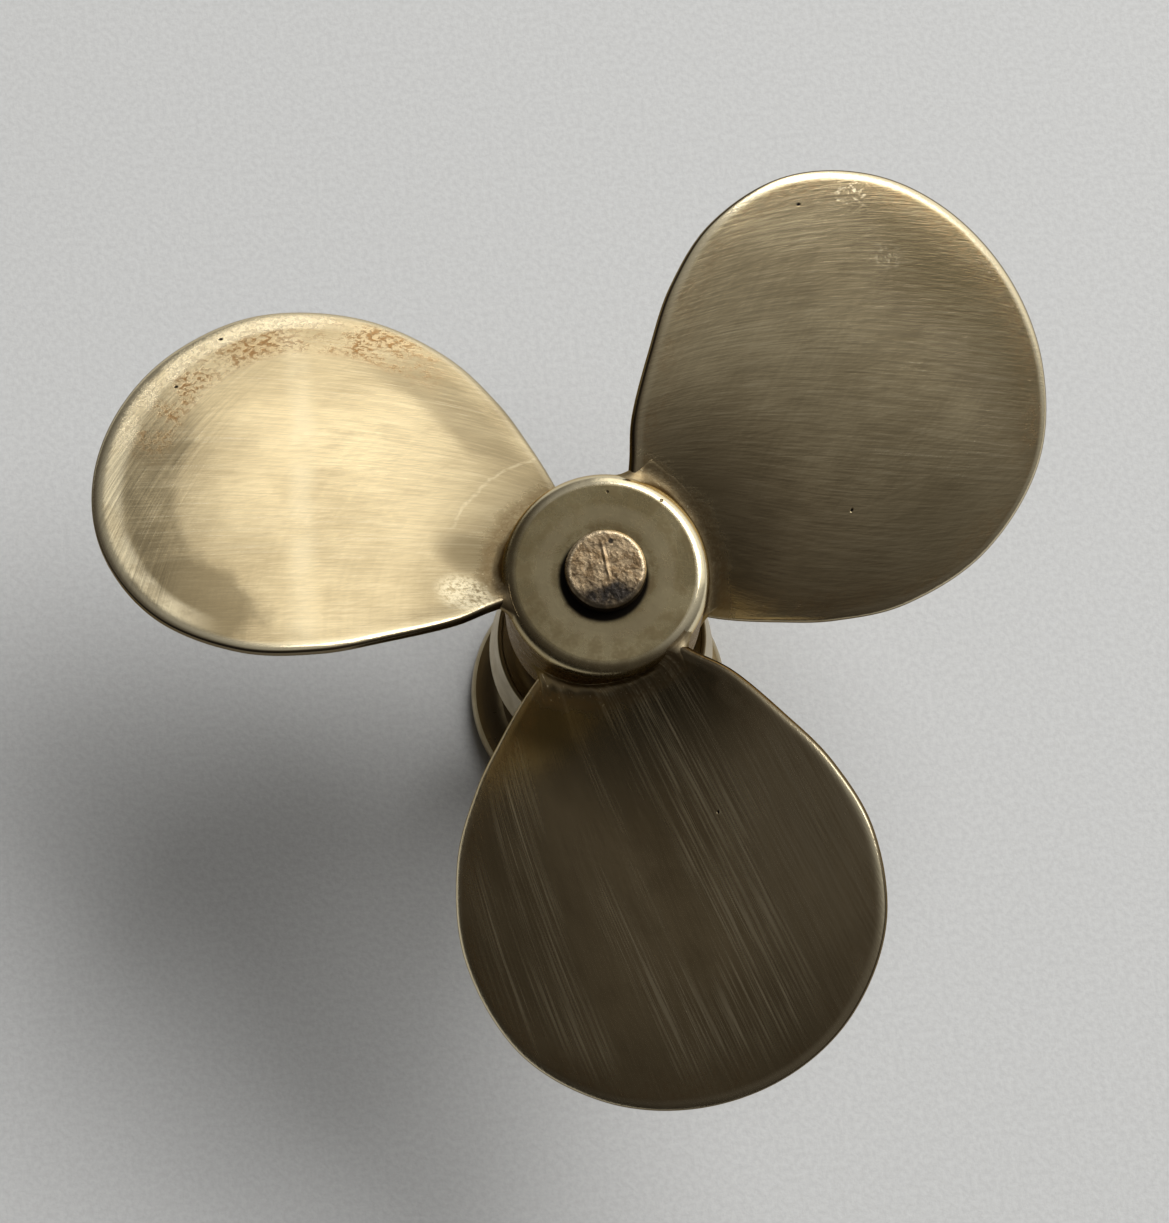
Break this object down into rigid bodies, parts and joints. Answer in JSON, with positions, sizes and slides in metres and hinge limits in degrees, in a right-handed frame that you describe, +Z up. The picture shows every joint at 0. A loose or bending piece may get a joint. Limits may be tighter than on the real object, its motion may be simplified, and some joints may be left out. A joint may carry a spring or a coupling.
{
  "type": "boat propeller",
  "caption": "Right-handed brass boat propeller with broad round blades on a barrel hub, turning with its shaft in a stepped, turned bearing stand.",
  "frame": {"origin": "centre of the foot's flat underside, on the propeller's axis", "axes": "+Z points up along the shaft to the hub's front face; +X and +Y are level, and the blade named blade_1 lies between them"},
  "size_m": [0.1534, 0.1432, 0.1204],
  "materials": {
    "blade_brass": "hand-brushed brass with light tarnish and polished edges",
    "braze_metal": "rough brazed bead, darkened",
    "hub_brass": "satin brass, evenly dulled",
    "shaft_bronze": "rough bronze end with brown patina",
    "stand_brass": "turned brass, dulled",
    "bearing_bronze": "machined bearing bronze",
    "fastener_steel": "stainless steel, machined"
  },
  "bodies": {
    "stand": {"stand_column": "stand_brass", "flared_ring": "stand_brass", "foot_disc": "stand_brass", "cover_plug": "stand_brass", "upper_bush": "bearing_bronze", "lower_bush": "bearing_bronze", "foot_screws": "fastener_steel"},
    "rotor": {"hub": "hub_brass", "blade_1": "blade_brass", "blade_2": "blade_brass", "blade_3": "blade_brass", "root_fillet_1": "braze_metal", "root_fillet_2": "braze_metal", "root_fillet_3": "braze_metal", "propeller_shaft": "shaft_bronze", "shaft_key": "fastener_steel", "hub_set_screw": "fastener_steel", "thrust_washer": "bearing_bronze", "end_washer": "bearing_bronze", "retaining_nut": "fastener_steel", "lock_nut": "fastener_steel"}
  },
  "joints": [
    {"name": "propeller_spin", "type": "hinge", "parent": "stand", "child": "rotor", "pos_m": [0, 0, 0.095], "axis": [0, 0, 1], "continuous": true}
  ]
}
